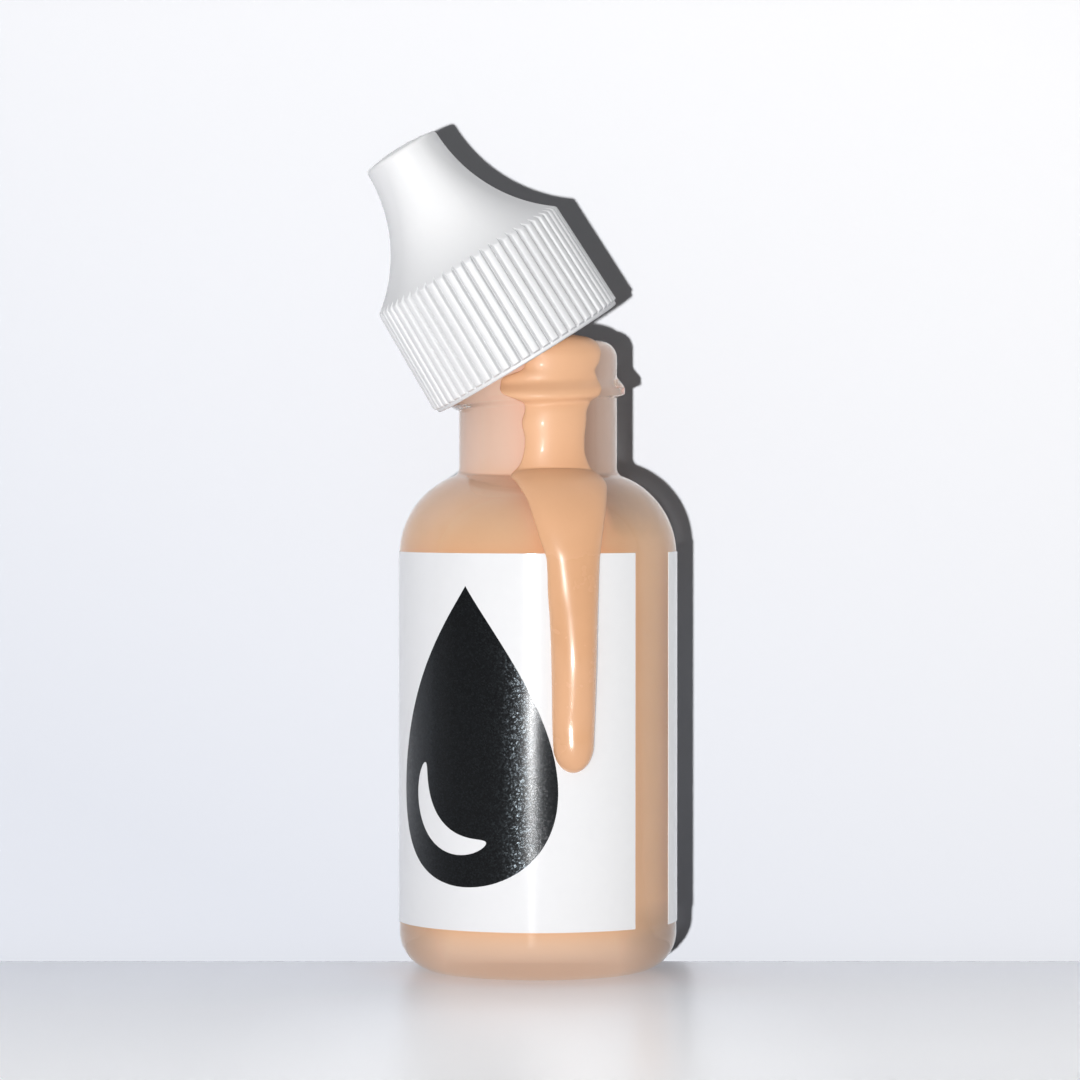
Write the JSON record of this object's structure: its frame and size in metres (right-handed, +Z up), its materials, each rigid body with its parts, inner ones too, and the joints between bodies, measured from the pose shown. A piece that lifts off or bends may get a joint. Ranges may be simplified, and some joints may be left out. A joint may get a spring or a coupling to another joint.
{
  "type": "foundation bottle",
  "caption": "Round clear-glass dropper bottle of liquid foundation with wrap-around label, ribbed screw cap resting askew on the neck, and a spill running down the front.",
  "frame": {"origin": "centre of the bottle's base, on the surface it stands on", "axes": "+Z up along the bottle's axis, -Y out of the front of the label, +X to the right seen from the front"},
  "size_m": [0.0369, 0.035, 0.0997],
  "materials": {
    "clear_glass": "clear polished glass",
    "natural_polyethylene": "satin, slightly translucent",
    "label_film": "white semi-gloss film",
    "foundation": "wet glossy liquid, opaque tan",
    "white_polypropylene": "satin moulded white",
    "liner_foam": "matt closed-cell foam"
  },
  "bodies": {
    "bottle": {"glass_bottle": "clear_glass", "dropper_insert": "natural_polyethylene", "wrap_label": "label_film", "foundation_fill": "foundation", "foundation_drip": "foundation"},
    "lifted_liner": {"cap_liner": "liner_foam"},
    "cap": {"cap_shell": "white_polypropylene"}
  },
  "joints": [
    {"name": "cap_lift", "type": "slide", "parent": "bottle", "child": "lifted_liner", "axis": [-0.5217, -0.0576, 0.8512], "range_m": [0, 0.03]},
    {"name": "cap_turn", "type": "hinge", "parent": "lifted_liner", "child": "cap", "pos_m": [0, 0, 0.0708], "axis": [-0.5217, -0.0576, 0.8512], "continuous": true}
  ]
}
